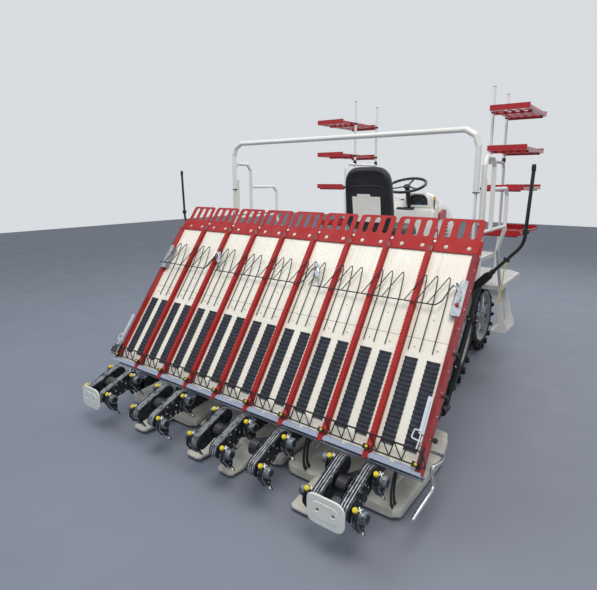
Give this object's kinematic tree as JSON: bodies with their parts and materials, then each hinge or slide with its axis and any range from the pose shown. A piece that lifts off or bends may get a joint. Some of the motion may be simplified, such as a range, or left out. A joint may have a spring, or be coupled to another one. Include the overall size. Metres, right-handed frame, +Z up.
{
  "type": "riding rice transplanter",
  "caption": "Four-wheeled riding machine with narrow lugged wheels, white bonnet, seedling racks, and a wide sloping seedling tray over rotary planting arms and floats on a lifting rear link.",
  "frame": {"origin": "on the floor under the middle of the whole machine", "axes": "X to the machine's right, Y forward, Z up"},
  "size_m": [2.661, 3.4104, 2.32],
  "materials": {
    "frame_paint": "dark grey semi-gloss paint",
    "engine_block": "painted casting",
    "cast_alloy": "cast, satin",
    "deck_paint": "off-white satin paint",
    "body_white": "white gloss",
    "tube_white": "white gloss paint",
    "dash_dark": "dark matt plastic",
    "lamp_lens": "clear gloss cover",
    "black_metal": "black satin paint",
    "seat_vinyl": "black embossed vinyl",
    "black_plastic": "black fine-grained plastic",
    "red_paint": "dark red gloss paint",
    "rim_steel": "silver grey paint",
    "lug_rubber": "matt moulded rubber",
    "bright_rod": "bright",
    "float_plastic": "off-white moulded plastic",
    "rail_metal": "drawn, satin",
    "tray_cream": "cream, ribbed",
    "belt_rubber": "blue-black rubber",
    "wire_black": "black dipped wire",
    "arm_alloy": "cast grey"
  },
  "bodies": {
    "chassis": {"main_frame": "frame_paint", "engine": "engine_block", "front_axle": "cast_alloy", "rear_axle": "cast_alloy", "foot_deck": "deck_paint", "rear_deck": "deck_paint", "side_steps": "tube_white", "cowl": "body_white", "dash_panel": "dash_dark", "front_bumper": "tube_white", "seat_base": "black_metal", "seat_cushion": "seat_vinyl", "seat_back": "seat_vinyl", "steering_column": "black_metal", "rear_hoop": "tube_white", "side_rail_left": "tube_white", "side_rail_right": "tube_white", "rack_posts": "tube_white", "racks_left": "red_paint", "racks_right": "red_paint"},
    "bonnet": {"bonnet": "body_white", "headlamps": "lamp_lens"},
    "steering_wheel": {"steering_wheel": "black_plastic"},
    "knuckle_right": {"knuckle_right": "cast_alloy"},
    "knuckle_left": {"knuckle_left": "cast_alloy"},
    "front_wheel_right": {"front_rim_right": "rim_steel", "front_tyre_right": "lug_rubber"},
    "front_wheel_left": {"front_rim_left": "rim_steel", "front_tyre_left": "lug_rubber"},
    "rear_wheel_right": {"rear_rim_right": "rim_steel", "rear_tyre_right": "lug_rubber"},
    "rear_wheel_left": {"rear_rim_left": "rim_steel", "rear_tyre_left": "lug_rubber"},
    "lower_links": {"lower_links": "frame_paint"},
    "upper_link": {"upper_link": "frame_paint"},
    "lift_barrel": {"lift_barrel": "frame_paint"},
    "lift_rod": {"lift_rod": "bright_rod"},
    "planter": {"planter_frame": "frame_paint", "chain_cases": "black_metal", "floats": "float_plastic", "bottom_rail": "rail_metal", "guard_plates": "float_plastic", "end_guards": "bright_rod"},
    "tray": {"tray_floor": "tray_cream", "tray_dividers": "red_paint", "tray_top": "red_paint", "feed_belts": "belt_rubber", "upper_wires": "wire_black", "lower_wires": "wire_black"},
    "rotors": {"rotor_cases": "cast_alloy"},
    "arms_front": {"arms_front": "arm_alloy"},
    "arms_rear": {"arms_rear": "arm_alloy"},
    "marker_right": {"marker_right": "black_metal"},
    "marker_left": {"marker_left": "black_metal"}
  },
  "joints": [
    {"name": "bonnet_lid", "type": "hinge", "parent": "chassis", "child": "bonnet", "pos_m": [0, 1.068, 1.396], "axis": [1, 0, 0], "range_deg": [0, 50]},
    {"name": "steer_right", "type": "hinge", "parent": "chassis", "child": "knuckle_right", "pos_m": [0.5, 1.285, 0.325], "axis": [0, 0, 1], "range_deg": [-38, 38]},
    {"name": "steer_left", "type": "hinge", "parent": "chassis", "child": "knuckle_left", "pos_m": [-0.5, 1.285, 0.325], "axis": [0, 0, 1], "range_deg": [-38, 38]},
    {"name": "steering_wheel_turn", "type": "hinge", "parent": "chassis", "child": "steering_wheel", "pos_m": [0, 0.917, 1.494], "axis": [0, -0.3584, 0.9336], "range_deg": [-305, 305]},
    {"name": "front_wheel_right_spin", "type": "hinge", "parent": "knuckle_right", "child": "front_wheel_right", "pos_m": [0.61, 1.285, 0.325], "axis": [1, 0, 0], "continuous": true},
    {"name": "front_wheel_left_spin", "type": "hinge", "parent": "knuckle_left", "child": "front_wheel_left", "pos_m": [-0.61, 1.285, 0.325], "axis": [1, 0, 0], "continuous": true},
    {"name": "rear_wheel_right_spin", "type": "hinge", "parent": "chassis", "child": "rear_wheel_right", "pos_m": [0.71, 0.235, 0.475], "axis": [1, 0, 0], "continuous": true},
    {"name": "rear_wheel_left_spin", "type": "hinge", "parent": "chassis", "child": "rear_wheel_left", "pos_m": [-0.71, 0.235, 0.475], "axis": [1, 0, 0], "continuous": true},
    {"name": "lift_links", "type": "hinge", "parent": "chassis", "child": "lower_links", "pos_m": [0, -0.215, 0.52], "axis": [-1, 0, 0], "range_deg": [0, 50]},
    {"name": "top_link", "type": "hinge", "parent": "chassis", "child": "upper_link", "pos_m": [0, -0.215, 0.77], "axis": [-1, 0, 0], "range_deg": [0, 50]},
    {"name": "planter_level", "type": "hinge", "parent": "lower_links", "child": "planter", "pos_m": [0, -0.745, 0.42], "axis": [-1, 0, 0], "range_deg": [-50, 0]},
    {"name": "lift_barrel_tilt", "type": "hinge", "parent": "chassis", "child": "lift_barrel", "pos_m": [0, 0.255, 0.65057], "axis": [1, 0, 0], "range_deg": [0, 4]},
    {"name": "lift_rod_slide", "type": "slide", "parent": "lift_barrel", "child": "lift_rod", "axis": [0, 1, 0], "range_m": [0, 0.11]},
    {"name": "tray_slide", "type": "slide", "parent": "planter", "child": "tray", "axis": [1, 0, 0], "range_m": [-0.11, 0.11]},
    {"name": "rotor_spin", "type": "hinge", "parent": "planter", "child": "rotors", "pos_m": [0, -1.552, 0.263], "axis": [1, 0, 0], "continuous": true},
    {"name": "arms_front_spin", "type": "hinge", "parent": "rotors", "child": "arms_front", "pos_m": [0, -1.465, 0.29587], "axis": [1, 0, 0], "continuous": true},
    {"name": "arms_rear_spin", "type": "hinge", "parent": "rotors", "child": "arms_rear", "pos_m": [0, -1.639, 0.23013], "axis": [1, 0, 0], "continuous": true},
    {"name": "marker_right_fold", "type": "hinge", "parent": "planter", "child": "marker_right", "pos_m": [1.01, -0.725, 0.33], "axis": [0, 1, 0], "range_deg": [0, 85]},
    {"name": "marker_left_fold", "type": "hinge", "parent": "planter", "child": "marker_left", "pos_m": [-1.01, -0.725, 0.33], "axis": [0, -1, 0], "range_deg": [0, 85]}
  ],
  "couplings": [
    {"joint": "steer_left", "follows": "steer_right", "ratio": 1},
    {"joint": "steering_wheel_turn", "follows": "steer_right", "ratio": 8},
    {"joint": "top_link", "follows": "lift_links", "ratio": 1},
    {"joint": "planter_level", "follows": "lift_links", "ratio": -1},
    {"joint": "lift_barrel_tilt", "follows": "lift_links", "ratio": 0.05525},
    {"joint": "lift_rod_slide", "follows": "lift_links", "m_per_rad": 0.12347},
    {"joint": "arms_front_spin", "follows": "rotor_spin", "ratio": -1},
    {"joint": "arms_rear_spin", "follows": "rotor_spin", "ratio": -1}
  ]
}
